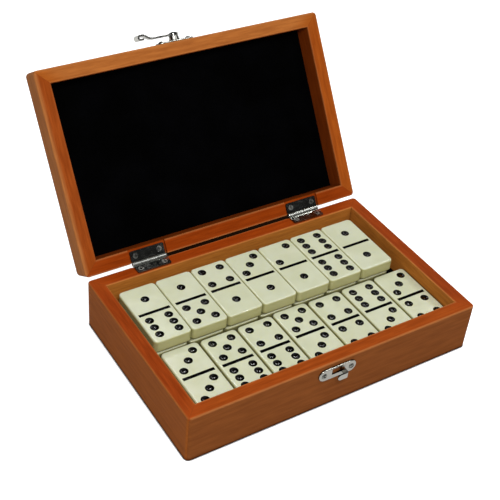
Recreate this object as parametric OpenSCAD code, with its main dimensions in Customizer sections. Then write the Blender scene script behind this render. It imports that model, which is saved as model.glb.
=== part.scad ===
// Hinged wooden storage box for a double-six set of dominoes, shown open.
// Millimetres, +Z up, X along the front wall, Y from front to back.
// The origin is the centre of the underside. The lid is drawn shut and then
// turned about the hinge pins, so everything on it keeps its shut sizes.

/* [Box] */
// Height of the body walls
wall_h = 32.8; // [31:0.1:45]
// Thickness of the body walls and of the lid rails
wall_t = 8.8; // [7.5:0.1:9.8]
// Radius of the upright outer corners
corner_r = 2.5; // [2:0.1:4]
// Eased outer edge along both rims
rim_ease = 0.7; // [0.4:0.1:1.8]
// Eased inner edge along both rims
inner_ease = 0.6; // [0.2:0.1:1.2]
// Eased bottom edge of the body
foot_ease = 0.8; // [0.4:0.1:1.8]

/* [Floor] */
// Thickness of the base board
base_t = 5; // [3:0.5:6]
// Width of the rabbet that takes the base board or the lid panel
rabbet_w = 4; // [3:0.5:5]
// Play of a board in its rabbet, each side
board_play = 0.1; // [0.05:0.05:0.3]
// Thickness of the velvet-covered card on the floor
floor_lining_t = 1.2; // [0.8:0.1:2]
// Play of a lining or an insert inside the walls, each side
lining_play = 0.2; // [0.1:0.1:0.5]
// Distance from the top of a full box of tiles up to the rim
tile_drop = 1.1; // [0.5:0.1:3]

/* [Lid] */
// Height of the lid
lid_h = 16.3; // [14:0.1:24]
// Gap between the two rims when the lid is shut
rim_gap = 0.2; // [0.1:0.05:0.4]
// Opening angle at which the lid stands
lid_open = 123; // [0:1:180]
// Thickness of the lid panel
panel_t = 2.6; // [2:0.1:4]
// Thickness of the velvet-covered card inside the lid
lid_lining_t = 0.8; // [0.6:0.1:1.5]
// Rounding along the top edge of the lid
lid_edge_r = 1.8; // [1:0.1:2.4]

/* [Hinges] */
// Distance from the side of the box to the middle of a hinge
hinge_in = 41.8; // [30:0.1:55]
// Length of a hinge along its pin
hinge_l = 22.8; // [18:0.2:28]
// Width of a leaf, from the pin to its free edge
leaf_w = 8.1; // [7:0.1:9]
// Thickness of a leaf
leaf_t = 0.7; // [0.6:0.05:0.9]
// Rounding of the free corners of a leaf
leaf_corner = 1.2; // [0.4:0.1:2]
// Distance of the pin behind the back faces
pin_back = 0.7; // [0.5:0.05:2]
// Radius of a knuckle
knuckle_r = 1.3; // [1.15:0.05:1.35]
// Radius of the hinge pin
pin_r = 0.6; // [0.4:0.05:0.7]
// Running clearance of the pin in the lid knuckles
pin_play = 0.05; // [0.03:0.01:0.08]
// Gap between neighbouring knuckles
knuckle_gap = 0.2; // [0.1:0.05:0.4]
// Play of a leaf in the lid mortise, each side
mortise_play = 1.2; // [0.6:0.1:2]
// Free space round the knuckles in the wood
knuckle_play = 0.3; // [0.25:0.05:0.5]
// Distance from the end of a leaf to its screw
leaf_screw_end = 3.4; // [2.8:0.1:4.5]
// Distance of the leaf screws from the pin
leaf_screw_in = 4.9; // [4.2:0.1:5.4]

/* [Latch] */
// Sideways place of the latch, from the middle of the front
latch_x = -2.8; // [-10:0.1:10]
// Length of the catch plate and the latch plate
plate_l = 25.4; // [23:0.2:30]
// Height of both plates
plate_w = 8.2; // [7.6:0.1:9]
// Thickness of both plates
plate_t = 1.0; // [0.8:0.1:1.2]
// Rounding along the upper edge of both plates
plate_ease = 0.5; // [0.2:0.1:0.7]
// Distance from the end of a plate to its screw
plate_screw_end = 3.4; // [2.8:0.1:3.8]
// Height of the latch pivot above the lower edge of the lid
pivot_up = 7.5; // [6.5:0.1:9]
// Depth of the middle of the catch plate under the body rim
catch_down = 7.4; // [6.5:0.1:9]
// Distance from the plate to the underside of the arm
arm_lift = 2.95; // [2.8:0.05:4]
// Thickness of the latch arm
arm_t = 1.2; // [0.8:0.05:1.4]
// Width of the arm at its neck
arm_w = 3.8; // [3.2:0.1:4.2]
// Width of the finger grip
grip_w = 6.4; // [5:0.1:8]
// Radius of the two bends that lift the grip
bend_r = 7; // [6.5:0.1:9]
// Straight length between the two bends
bend_run = 0.4; // [0.2:0.1:1.2]
// Straight length of the grip before its rolled end
grip_run = 0.7; // [0.4:0.1:2.5]
// Radius of the rolled end of the grip
curl_r = 1.25; // [1.05:0.05:1.5]
// Straight length after the rolled end
curl_run = 2.2; // [1:0.1:3]
// Radius of the rivet shank
rivet_r = 1.2; // [0.9:0.1:1.4]
// Radius of the rivet head
rivet_head_r = 3.0; // [2.4:0.1:3.2]
// Running clearance of the arm round the rivet
rivet_play = 0.06; // [0.03:0.01:0.1]
// Height of the keeper above the middle of the catch plate
keeper_up = 1.0; // [0.5:0.1:1.6]
// How far the bend of the arm starts under the keeper, when latched
bend_under = 2.2; // [1.6:0.1:2.4]
// Width of the keeper tongue
keeper_w = 3.8; // [3.2:0.1:4.4]
// Clearance between the side of the arm and the keeper
keeper_play = 0.3; // [0.3:0.05:0.6]
// Clearance between the top of the arm and the keeper tongue
keeper_gap = 0.7; // [0.6:0.05:1.2]

/* [Tiles] */
// Width of a tile
tile_w = 23.9; // [22:0.1:24]
// Length of a tile
tile_l = 47.8; // [46:0.1:48]
// Thickness of a tile
tile_h = 8; // [7:0.1:9]
// Corner radius of a tile, seen from above
tile_corner = 2.8; // [2:0.1:4]
// Rounding of the long and short edges of a tile
tile_ease = 1.1; // [0.5:0.1:1.6]
// Radius of a pip at the surface
pip_r = 2.65; // [1.8:0.05:2.8]
// Depth of the dished pips
pip_depth = 0.7; // [0.3:0.05:1]
// Distance of the outer pip columns and rows from the middle of a half
pip_pitch = 6.2; // [5.4:0.1:6.6]
// Distance from the long edge of a tile to the engraved centre line
line_end = 1.9; // [1.5:0.05:4]
// Width of the engraved centre line
line_w = 2.2; // [1:0.1:2.8]
// Depth of the engraved centre line
line_depth = 0.5; // [0.3:0.05:0.8]
// Gap between tiles in the back rows
back_gap = 0.15; // [0.1:0.05:0.4]
// Gap between tiles in the front row
front_gap = 1.05; // [0.1:0.05:1.2]
// Room between the front row and the left wall, for a finger
front_room = 5.2; // [3:0.1:12]
// Gap between the front row and the right wall
front_side_gap = 0.2; // [0.15:0.05:1]
// Gap between the front row and the front wall
front_wall_gap = 0.7; // [0.2:0.1:1.5]
// Gap between the front row and the lower back row
row_gap = 1.2; // [0.4:0.1:2]
// Room between the lower back row and the back wall, for a finger
back_room = 8.5; // [5:0.1:16]
// Gap between the lower back row and the left wall
back_side_gap = 0.6; // [0.2:0.1:2]
// How far the upper back row sits to the right of the lower one
stack_right = 2.5; // [0:0.1:4]
// How far the upper back row sits behind the lower one
stack_back = 0.3; // [0:0.1:4]

/* [Screws] */
// Radius of the hinge screw heads
flat_head_r = 1.75; // [1.4:0.05:1.9]
// Radius of the plate screw heads
round_head_r = 1.75; // [1.4:0.05:2]
// Height of the plate screw heads
round_head_h = 0.9; // [0.6:0.1:1.2]
// Radius of the screw shanks
shank_r = 0.85; // [0.7:0.05:0.95]
// Length of a screw under its head
screw_l = 6; // [4:0.5:7]
// Clearance round a screw in its hole
screw_play = 0.04; // [0.02:0.01:0.08]

/* [Hidden] */
$fn = 96;
row_n = 7;

// The box is built round the two rows of tiles, with room to lift them
in_w = row_n * tile_w + (row_n - 1) * front_gap + front_side_gap + front_room;
in_d = 2 * tile_l + front_wall_gap + row_gap + back_room;
body_w = in_w + 2 * wall_t;
body_d = in_d + 2 * wall_t;
lid_z = wall_h + rim_gap;
lid_top = lid_z + lid_h;
floor_z = wall_h - tile_drop - 2 * tile_h;
insert_h = floor_z - floor_lining_t - base_t;

// Hinge pin line, in the shut frame
pin_y = body_d / 2 + pin_back;
pin_z = wall_h + leaf_t + rim_gap / 2;
mortise_h = 2 * leaf_t;
knuckle_l = hinge_l / 4;
hinge_span = body_w - 2 * hinge_in;
leaf_screws = hinge_l - 2 * leaf_screw_end;

// Latch heights, in the shut frame
pivot_z = lid_z + pivot_up;
catch_z = wall_h - catch_down;
keeper_z = catch_z + keeper_up;
plate_screws = plate_l - 2 * plate_screw_end;
arm_straight = pivot_z - keeper_z + keeper_w / 2 - bend_under;
arm_s = plate_t + arm_lift;
keeper_s = arm_s + arm_t + keeper_gap;
boss_play = 0.1;
bend_angle = asin(0.6);

// Tile rows: middle of the first tile, then equal steps to the right
front_step = tile_w + front_gap;
back_step = tile_w + back_gap;
front_x = in_w / 2 - front_side_gap - tile_w / 2 - (row_n - 1) * front_step;
front_y = -in_d / 2 + front_wall_gap + tile_l / 2;
low_x = -in_w / 2 + back_side_gap + tile_w / 2;
low_y = front_y + tile_l + row_gap;
top_x = low_x + stack_right;
top_y = low_y + stack_back;

// How far each tile is pushed back: the front row as a share of the gap
// behind it, the upper back row in millimetres
FRONT_PUSH = [0.7, 0, 0, 0.6, 0, 0, 0];
TOP_PUSH = [0.5, 0.5, 0.5, 0.3, 0, 0, 0];

// Pips of each tile, back half first
TOP_ROW = [[1, 6], [1, 5], [4, 1], [3, 1], [2, 1], [6, 6], [1, 1]];
FRONT_ROW = [[3, 3], [5, 6], [4, 6], [5, 3], [4, 4], [6, 3], [3, 4]];
LOW_ROW = [[0, 0], [0, 1], [0, 2], [0, 3], [0, 4], [0, 5], [0, 6]];

wood = [0.56, 0.27, 0.1];
board = [0.45, 0.29, 0.16];
velvet = [0.03, 0.03, 0.035];
nickel = [0.78, 0.78, 0.76];
ivory = [0.87, 0.86, 0.72];
ink = [0.02, 0.02, 0.02];

// Cutter that rounds one corner of a flat outline to radius r
module nick(x, y, r, turn) {
    if (r > 0)
        translate([x, y])
            rotate(turn)
                difference() {
                    translate([-1, -1]) square([r + 1, r + 1]);
                    translate([r, r]) circle(r);
                }
}

// Rectangle with its own radius at each corner, counted from the lower left
module eased_rect(w, h, r1, r2, r3, r4) {
    difference() {
        square([w, h]);
        nick(0, 0, r1, 0);
        nick(w, 0, r2, 90);
        nick(w, h, r3, 180);
        nick(0, h, r4, 270);
    }
}

// Section of a body wall, outer face on x = 0
module wall_section() {
    difference() {
        eased_rect(wall_t, wall_h, foot_ease, 0, inner_ease, rim_ease);
        translate([wall_t - rabbet_w, -1]) square([rabbet_w + 1, base_t + 1]);
    }
}

// Section of a lid rail, outer face on x = 0, rim at the bottom
module rail_section() {
    difference() {
        eased_rect(wall_t, lid_h, rim_ease, inner_ease, 0, lid_edge_r);
        translate([wall_t - rabbet_w, lid_h - panel_t]) square([rabbet_w + 1, panel_t + 1]);
    }
}

// Mitred run of the section given as child, with rounded upright corners
module mitred_run(len, h) {
    half = len / 2 - corner_r;
    intersection() {
        translate([-half, 0, 0])
            rotate([90, 0, 90])
                linear_extrude(2 * half)
                    children();
        translate([0, 0, -1])
            linear_extrude(h + 2)
                polygon([
                    [-len / 2, 0], [len / 2, 0],
                    [len / 2 - wall_t - 1, wall_t + 1], [-len / 2 + wall_t + 1, wall_t + 1]
                ]);
    }
    for (end = [0, 1])
        mirror([end, 0, 0])
            translate([half, corner_r, 0])
                rotate(-90)
                    rotate_extrude(angle = 45)
                        intersection() {
                            translate([corner_r, 0]) mirror([1, 0]) children();
                            square([corner_r, h]);
                        }
}

// Puts a run, drawn along X at the front, on one side of the box
module on_side(side) {
    if (side == "front") translate([0, -body_d / 2, 0]) children();
    if (side == "back") translate([0, body_d / 2, 0]) rotate(180) children();
    if (side == "left") translate([-body_w / 2, 0, 0]) rotate(-90) children();
    if (side == "right") translate([body_w / 2, 0, 0]) rotate(90) children();
}

// Turns a shut lid part about the hinge pins to where the lid stands
module lid_swing() {
    translate([0, pin_y, pin_z])
        rotate([-lid_open, 0, 0])
            translate([0, -pin_y, -pin_z])
                children();
}

// Puts a plate on the front face: x along the box, y up, z outwards
module on_front(z) {
    translate([latch_x, -body_d / 2, z])
        rotate([90, 0, 0])
            children();
}

// Middles of the two hinges
function hinge_x(i) = (i == 0 ? -1 : 1) * hinge_span / 2;

module wood_wall(side) {
    run = side == "front" || side == "back" ? body_w : body_d;
    on_side(side) mitred_run(run, wall_h) wall_section();
}

module lid_rail(side) {
    run = side == "front" || side == "back" ? body_w : body_d;
    translate([0, 0, lid_z]) on_side(side) mitred_run(run, lid_h) rail_section();
}

// Hollow in the wood round the knuckles and the ends of the pins
module knuckle_hollows() {
    for (i = [0, 1])
        translate([hinge_x(i) - hinge_l / 2 - mortise_play, pin_y, pin_z])
            rotate([0, 90, 0])
                cylinder(h = hinge_l + 2 * mortise_play, r = knuckle_r + knuckle_play);
}

// Pilot holes under both hinge leaves, up or down from height z
module leaf_pilots(z, up) {
    for (i = [0, 1])
        for (s = [-1, 1])
            translate([hinge_x(i) + s * leaf_screws / 2, pin_y - leaf_screw_in, z])
                mirror([0, 0, up ? 0 : 1])
                    translate([0, 0, -1])
                        cylinder(h = screw_l + 1.3, r = shank_r + screw_play);
}

// Pilot holes behind a plate on the front face
module plate_pilots() {
    for (s = [-1, 1])
        translate([s * plate_screws / 2, 0, -screw_l - 0.3])
            cylinder(h = screw_l + 1.3, r = shank_r + screw_play);
}

module wall_front() {
    color(wood)
        difference() {
            wood_wall("front");
            on_front(catch_z) plate_pilots();
        }
}

module wall_back() {
    color(wood)
        difference() {
            wood_wall("back");
            leaf_pilots(wall_h, false);
            knuckle_hollows();
        }
}

module wall_left() { color(wood) wood_wall("left"); }
module wall_right() { color(wood) wood_wall("right"); }

// Board that fills the rabbet of the four walls or of the four rails
module rabbet_board(t) {
    w = in_w + 2 * rabbet_w - 2 * board_play;
    d = in_d + 2 * rabbet_w - 2 * board_play;
    translate([-w / 2, -d / 2, 0]) cube([w, d, t]);
}

// Card or insert that drops in between the walls
module inner_slab(t) {
    w = in_w - 2 * lining_play;
    d = in_d - 2 * lining_play;
    translate([-w / 2, -d / 2, 0]) cube([w, d, t]);
}

module base_board() { color(board) rabbet_board(base_t); }
module floor_insert() { color(board) translate([0, 0, base_t]) inner_slab(insert_h); }
module floor_lining() {
    color(velvet) translate([0, 0, floor_z - floor_lining_t]) inner_slab(floor_lining_t);
}

module lid_rail_front() {
    color(wood)
        lid_swing()
            difference() {
                lid_rail("front");
                on_front(pivot_z) plate_pilots();
            }
}

// The back rail has a through mortise that takes both leaves of each hinge
module lid_rail_back() {
    color(wood)
        lid_swing()
            difference() {
                lid_rail("back");
                for (i = [0, 1])
                    translate([
                        hinge_x(i) - hinge_l / 2 - mortise_play,
                        body_d / 2 - wall_t - 1,
                        lid_z - 1
                    ])
                        cube([hinge_l + 2 * mortise_play, wall_t + 2, mortise_h + 1]);
                leaf_pilots(lid_z + mortise_h, true);
                knuckle_hollows();
            }
}

module lid_rail_left() { color(wood) lid_swing() lid_rail("left"); }
module lid_rail_right() { color(wood) lid_swing() lid_rail("right"); }

module lid_panel() {
    color(wood) lid_swing() translate([0, 0, lid_top - panel_t]) rabbet_board(panel_t);
}

module lid_lining() {
    color(velvet)
        lid_swing()
            translate([0, 0, lid_top - panel_t - lid_lining_t])
                inner_slab(lid_lining_t);
}

// Lower left ends of the knuckles of one leaf: the body leaf has the first
// and third knuckle from the left, the lid leaf the second and fourth
function knuckle_ends(lid) = [for (k = [0, 1]) -hinge_l / 2 + (2 * k + (lid ? 1 : 0)) * knuckle_l];

// Lid leaf of a hinge with its pin on the X axis; the body leaf is its mirror
module leaf(lid) {
    difference() {
        union() {
            difference() {
                translate([-hinge_l / 2, -leaf_w, rim_gap / 2])
                    linear_extrude(leaf_t)
                        eased_rect(hinge_l, leaf_w, leaf_corner, leaf_corner, 0, 0);
                for (x = knuckle_ends(!lid))
                    translate([x - knuckle_gap / 2, -knuckle_r - 0.25, -2])
                        cube([knuckle_l + knuckle_gap, knuckle_r + 1.25, 4]);
            }
            for (x = knuckle_ends(lid))
                translate([x + knuckle_gap / 2, 0, 0])
                    rotate([0, 90, 0])
                        cylinder(h = knuckle_l - knuckle_gap, r = knuckle_r);
        }
        translate([-hinge_l, 0, 0])
            rotate([0, 90, 0])
                cylinder(h = 2 * hinge_l, r = pin_r + pin_play);
        for (s = [-1, 1])
            translate([s * leaf_screws / 2, -leaf_screw_in, rim_gap / 2])
                flat_head_hole();
    }
}

// Countersunk hole, open towards -Z, through a leaf that starts at z = 0
module flat_head_hole() {
    translate([0, 0, -0.01])
        cylinder(h = leaf_t, r1 = flat_head_r + screw_play, r2 = shank_r + screw_play);
    translate([0, 0, -1]) cylinder(h = leaf_t + 2, r = shank_r + screw_play);
}

// Countersunk wood screw with a cross recess, head at z = 0, driven towards +Z
module flat_screw() {
    difference() {
        union() {
            cylinder(h = leaf_t, r1 = flat_head_r, r2 = shank_r);
            translate([0, 0, leaf_t / 2]) cylinder(h = screw_l - 2 - leaf_t / 2, r = shank_r);
            translate([0, 0, screw_l - 2]) cylinder(h = 2, r1 = shank_r, r2 = 0.15);
        }
        for (turn = [0, 90])
            rotate(turn)
                translate([-flat_head_r * 0.62, -0.22, -1]) cube([flat_head_r * 1.24, 0.44, 1.45]);
    }
}

// Round-head wood screw with a slot, head on z = 0, driven towards -Z
module round_screw() {
    cap = (pow(round_head_r, 2) + pow(round_head_h, 2)) / (2 * round_head_h);
    difference() {
        union() {
            intersection() {
                translate([0, 0, round_head_h - cap]) sphere(cap);
                cylinder(h = round_head_h + 1, r = round_head_r);
            }
            translate([0, 0, -screw_l + 2]) cylinder(h = screw_l - 2 + 0.2, r = shank_r);
            translate([0, 0, -screw_l]) cylinder(h = 2, r1 = 0.15, r2 = shank_r);
        }
        translate([-round_head_r - 1, -0.25, round_head_h - 0.45])
            cube([2 * round_head_r + 2, 0.5, 1]);
    }
}

module body_leaf(i) {
    color(nickel) translate([hinge_x(i), pin_y, pin_z]) mirror([0, 0, 1]) leaf(false);
}

module lid_leaf(i) {
    color(nickel) lid_swing() translate([hinge_x(i), pin_y, pin_z]) leaf(true);
}

// Pin with a low domed end past each outer knuckle
module hinge_pin(i) {
    over = 0.3;
    color(nickel)
        translate([hinge_x(i), pin_y, pin_z])
            rotate([0, 90, 0]) {
                cylinder(h = hinge_l, r = pin_r, center = true);
                for (end = [-1, 1])
                    translate([0, 0, end * (hinge_l / 2)])
                        mirror([0, 0, end < 0 ? 1 : 0])
                            cylinder(h = over, r1 = pin_r, r2 = pin_r * 0.55);
            }
}

module leaf_screws_at(lid) {
    for (i = [0, 1])
        for (s = [-1, 1])
            translate([hinge_x(i) + s * leaf_screws / 2, pin_y - leaf_screw_in, pin_z])
                mirror([0, 0, lid ? 0 : 1])
                    translate([0, 0, rim_gap / 2])
                        flat_screw();
}

module body_hinge_screws() { color(nickel) leaf_screws_at(false); }
module lid_hinge_screws() { color(nickel) lid_swing() leaf_screws_at(true); }

// Plate with half-round ends, an eased upper edge and two screw holes
module end_round_plate() {
    run = plate_l - plate_w;
    difference() {
        union() {
            translate([-run / 2, 0, 0])
                rotate([90, 0, 90])
                    linear_extrude(run)
                        translate([-plate_w / 2, 0])
                            eased_rect(plate_w, plate_t, 0, 0, plate_ease, plate_ease);
            for (end = [0, 1])
                mirror([end, 0, 0])
                    translate([run / 2, 0, 0])
                        rotate(-90)
                            rotate_extrude(angle = 180)
                                eased_rect(plate_w / 2, plate_t, 0, 0, plate_ease, 0);
        }
        for (s = [-1, 1])
            translate([s * plate_screws / 2, 0, -1])
                cylinder(h = plate_t + 2, r = shank_r + screw_play);
    }
}

// The keeper is a tongue cut free of the plate on three sides and bent out:
// it rises at the right and then runs left over the path of the arm
module keeper_tongue() {
    rise_x = arm_w / 2 + keeper_play;
    free_x = -rise_x - keeper_w / 2;
    top_s = keeper_s + plate_t;
    intersection() {
        rotate([90, 0, 0])
            linear_extrude(keeper_w, center = true)
                difference() {
                    translate([free_x, 0])
                        eased_rect(rise_x + plate_t - free_x, top_s, 0, 0, 1.4, 0.3);
                    translate([free_x - 1, -1])
                        eased_rect(rise_x - free_x + 1, keeper_s + 1, 0, 0, 0.5, 0);
                }
        linear_extrude(top_s + 1) {
            translate([free_x + keeper_w / 2, 0]) circle(keeper_w / 2);
            translate([free_x + keeper_w / 2, -keeper_w / 2])
                square([rise_x + 2 * plate_t - free_x, keeper_w]);
        }
    }
}

module catch_plate() {
    rise_x = arm_w / 2 + keeper_play;
    free_x = -rise_x - keeper_w / 2;
    color(nickel)
        on_front(catch_z) {
            difference() {
                end_round_plate();
                translate([free_x, keeper_z - catch_z - keeper_w / 2 - 0.2, -1])
                    cube([rise_x - free_x, keeper_w + 0.4, plate_t + 2]);
            }
            translate([0, keeper_z - catch_z, 0]) keeper_tongue();
        }
}

module plate_screws_at() {
    for (s = [-1, 1])
        translate([s * plate_screws / 2, 0, plate_t])
            rotate(s * 35)
                round_screw();
}

module catch_screws() { color(nickel) on_front(catch_z) plate_screws_at(); }
module latch_screws() { color(nickel) lid_swing() on_front(pivot_z) plate_screws_at(); }

// Latch plate with a raised seat that holds the arm clear of the lid
module latch_plate() {
    seat_h = arm_lift - boss_play;
    color(nickel)
        lid_swing()
            on_front(pivot_z)
                difference() {
                    union() {
                        end_round_plate();
                        translate([0, 0, plate_t])
                            cylinder(h = seat_h, r1 = plate_w / 2 - plate_ease - 0.1, r2 = rivet_head_r);
                    }
                    translate([0, 0, -1])
                        cylinder(h = arm_s + 2, r = rivet_r + 0.02);
                }
}

// Rivet with a low domed head over the arm
module latch_rivet() {
    head_s = arm_s + arm_t + 0.08;
    head_h = 0.95;
    cap = (pow(rivet_head_r, 2) + pow(head_h, 2)) / (2 * head_h);
    color(nickel)
        lid_swing()
            on_front(pivot_z) {
                translate([0, 0, 0.05]) cylinder(h = head_s, r = rivet_r);
                translate([0, 0, head_s])
                    intersection() {
                        translate([0, 0, head_h - cap]) sphere(cap);
                        cylinder(h = head_h + 1, r = rivet_head_r);
                    }
            }
}

// Side profile of the arm, one stretch after another: [length, 0] is straight,
// [radius, angle] bends, a positive angle away from the lid
ARM_PATH = [
    [arm_straight, 0], [bend_r, bend_angle], [bend_run, 0], [bend_r, -bend_angle],
    [grip_run, 0], [curl_r, -90], [curl_r, -90], [curl_run, 0]
];

// Draws the stretches from index i on, starting at the origin towards +x
module arm_stretch(i) {
    if (i < len(ARM_PATH)) {
        size = ARM_PATH[i][0];
        bend = ARM_PATH[i][1];
        if (bend == 0) {
            translate([0, -arm_t / 2]) square([size, arm_t]);
            translate([size, 0]) arm_stretch(i + 1);
        } else {
            side = bend > 0 ? 1 : -1;
            reach = 3 * size;
            translate([0, side * size])
                intersection() {
                    difference() {
                        circle(size + arm_t / 2);
                        circle(size - arm_t / 2);
                    }
                    polygon([
                        [0, 0],
                        [0, -side * reach],
                        [reach * tan(abs(bend) / 2), -side * reach],
                        reach * [sin(abs(bend)), -side * cos(bend)]
                    ]);
                }
            translate([0, side * size])
                rotate(bend)
                    translate([0, -side * size])
                        arm_stretch(i + 1);
        }
    }
}

// Arm outline seen from the front, pointing along +x from the pivot
module arm_outline() {
    grip_x = arm_straight + bend_r * sin(bend_angle) + 1.6;
    circle(3.3);
    translate([0, -arm_w / 2]) square([grip_x + 1, arm_w]);
    translate([grip_x, -grip_w / 2]) eased_rect(12, grip_w, 1.6, 0, 0, 1.6);
}

module latch_hook() {
    color(nickel)
        lid_swing()
            on_front(pivot_z)
                mirror([1, 0, 0])
                    difference() {
                        intersection() {
                            rotate([90, 0, 0])
                                linear_extrude(2 * grip_w, center = true)
                                    translate([0, arm_s + arm_t / 2]) {
                                        arm_stretch(0);
                                        translate([-3.4, -arm_t / 2]) square([3.5, arm_t]);
                                    }
                            linear_extrude(20) arm_outline();
                        }
                        translate([0, 0, -1])
                            cylinder(h = 20, r = rivet_r + rivet_play);
                    }
}

// End section of a tile from its corner centre outwards
module tile_edge() {
    eased_rect(tile_corner, tile_h, 0, tile_ease, tile_ease, 0);
}

// Tile body with rounded corners and softly rounded edges
module tile_body() {
    half_w = tile_w / 2 - tile_corner;
    half_l = tile_l / 2 - tile_corner;
    translate([0, half_l, 0])
        rotate([90, 0, 0])
            linear_extrude(2 * half_l)
                translate([-tile_w / 2, 0])
                    eased_rect(tile_w, tile_h, tile_ease, tile_ease, tile_ease, tile_ease);
    for (turn = [0, 180])
        rotate(turn)
            translate([-half_w, half_l, 0])
                rotate([90, 0, 90])
                    linear_extrude(2 * half_w)
                        tile_edge();
    for (k = [0:3])
        translate([(k == 0 || k == 3 ? 1 : -1) * half_w, (k < 2 ? 1 : -1) * half_l, 0])
            rotate(90 * k)
                rotate_extrude(angle = 90)
                    tile_edge();
}

// Places of the pips on one half, as column and row
function pips(n) =
    n == 0 ? [] :
    n == 1 ? [[0, 0]] :
    n == 2 ? [[1, 1], [-1, -1]] :
    n == 3 ? [[1, 1], [0, 0], [-1, -1]] :
    n == 4 ? [[1, 1], [-1, 1], [1, -1], [-1, -1]] :
    n == 5 ? [[1, 1], [-1, 1], [0, 0], [1, -1], [-1, -1]] :
    [for (c = [-1, 1]) for (r = [-1, 0, 1]) [c, r]];

// One domino: dished pips on both halves and an engraved line between them
module tile(face) {
    ball = (pow(pip_r, 2) + pow(pip_depth, 2)) / (2 * pip_depth);
    line_l = tile_w - 2 * line_end;
    difference() {
        color(ivory) tile_body();
        color(ink) {
            for (half = [0, 1])
                for (p = pips(face[half]))
                    translate([
                        p[0] * pip_pitch,
                        (half == 0 ? 1 : -1) * tile_l / 4 + p[1] * pip_pitch,
                        tile_h - pip_depth + ball
                    ])
                        sphere(ball);
            translate([-line_l / 2, -line_w / 2, tile_h - line_depth])
                cube([line_l, line_w, 2]);
        }
    }
}

module tile_top(i) {
    translate([top_x + (i - 1) * back_step, top_y + TOP_PUSH[i - 1], floor_z + tile_h])
        tile(TOP_ROW[i - 1]);
}

module tile_front(i) {
    translate([front_x + (i - 1) * front_step, front_y + FRONT_PUSH[i - 1] * row_gap, floor_z])
        tile(FRONT_ROW[i - 1]);
}

module tile_low(i) {
    translate([low_x + (i - 1) * back_step, low_y, floor_z]) tile(LOW_ROW[i - 1]);
}

wall_front();
wall_back();
wall_left();
wall_right();
base_board();
floor_insert();
floor_lining();
lid_rail_front();
lid_rail_back();
lid_rail_left();
lid_rail_right();
lid_panel();
lid_lining();
body_leaf(0);  // hinge_left_body_leaf
lid_leaf(0);  // hinge_left_lid_leaf
hinge_pin(0);  // hinge_left_pin
body_leaf(1);  // hinge_right_body_leaf
lid_leaf(1);  // hinge_right_lid_leaf
hinge_pin(1);  // hinge_right_pin
body_hinge_screws();
lid_hinge_screws();
catch_plate();
catch_screws();
latch_plate();
latch_screws();
latch_rivet();
latch_hook();
tile_top(1);  // tile_top_1
tile_top(2);  // tile_top_2
tile_top(3);  // tile_top_3
tile_top(4);  // tile_top_4
tile_top(5);  // tile_top_5
tile_top(6);  // tile_top_6
tile_top(7);  // tile_top_7
tile_front(1);  // tile_front_1
tile_front(2);  // tile_front_2
tile_front(3);  // tile_front_3
tile_front(4);  // tile_front_4
tile_front(5);  // tile_front_5
tile_front(6);  // tile_front_6
tile_front(7);  // tile_front_7
tile_low(1);  // tile_low_1
tile_low(2);  // tile_low_2
tile_low(3);  // tile_low_3
tile_low(4);  // tile_low_4
tile_low(5);  // tile_low_5
tile_low(6);  // tile_low_6
tile_low(7);  // tile_low_7
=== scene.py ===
"""Looks of a hinged wooden domino box: lacquered wood, velvet, nickel plate and ivory tiles.

Lengths are in millimetres in the dataclasses and in metres in the scene. Where a field holds
the pair of lengths or levels of a mask, the mask is full at the first and gone at the second.
"""

from __future__ import annotations

import logging
import math
from dataclasses import dataclass, field, replace
from enum import Enum
from typing import Any, Iterable, Sequence, Union

import bpy
from mathutils import Matrix, Vector


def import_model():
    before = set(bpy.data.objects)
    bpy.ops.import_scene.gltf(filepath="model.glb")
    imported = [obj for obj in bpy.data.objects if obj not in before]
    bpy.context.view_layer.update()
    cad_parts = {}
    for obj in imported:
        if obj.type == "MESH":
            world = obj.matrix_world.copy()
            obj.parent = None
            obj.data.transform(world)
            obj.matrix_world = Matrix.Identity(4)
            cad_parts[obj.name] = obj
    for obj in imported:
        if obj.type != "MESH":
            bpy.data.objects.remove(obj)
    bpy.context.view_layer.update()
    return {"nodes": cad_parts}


MM = 0.001
WHITE = "#FFFFFF"
LOG = logging.getLogger("domino_box")

Nodes = dict[str, bpy.types.Object]
Place = tuple[float, float, float]
Socket = bpy.types.NodeSocket
Span = tuple[float, float]
Tree = bpy.types.NodeTree
Value = Union[float, tuple, Socket]

# Setting of the masks that fade out softly.
SMOOTH = {"interpolation_type": "SMOOTHSTEP"}

# Levels between which soft noise stays nearly everywhere.
NOISE: Span = (0.3, 0.7)


def linear(hex_colour: str) -> tuple[float, float, float, float]:
    """Turns an sRGB hex colour into linear values.

    Args:
        hex_colour: Colour as "#RRGGBB".

    Returns:
        Linear red, green and blue, with an alpha of 1.
    """
    parts = [int(hex_colour[i : i + 2], 16) / 255 for i in (1, 3, 5)]
    lin = [c / 12.92 if c <= 0.04045 else ((c + 0.055) / 1.055) ** 2.4 for c in parts]
    return (lin[0], lin[1], lin[2], 1.0)


def put(
    tree: Tree,
    kind: str,
    inputs: dict[Any, Value] | Sequence[Value] = (),
    **settings: Any,
) -> bpy.types.Node:
    """Adds a node with its settings and links.

    Args:
        tree: Node tree that takes the node.
        kind: Blender's type name of the node, without its ShaderNode.
        inputs: Values or source sockets, in the order of the node's inputs or by their names.
        settings: Properties of the node; "stops" fills a colour ramp with (place, hex colour).

    Returns:
        The new node.
    """
    node = tree.nodes.new(f"ShaderNode{kind}")
    for name, value in settings.items():
        if name == "stops":
            ramp = node.color_ramp
            while len(ramp.elements) < len(value):
                ramp.elements.new(0.5)
            for element, (place, colour) in zip(ramp.elements, value):
                element.position = place
                element.color = linear(colour)
        else:
            setattr(node, name, value)
    for key, value in inputs.items() if isinstance(inputs, dict) else enumerate(inputs):
        socket = node.inputs[key]
        if isinstance(value, bpy.types.NodeSocket):
            tree.links.new(value, socket)
        else:
            socket.default_value = value
    return node


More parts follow.
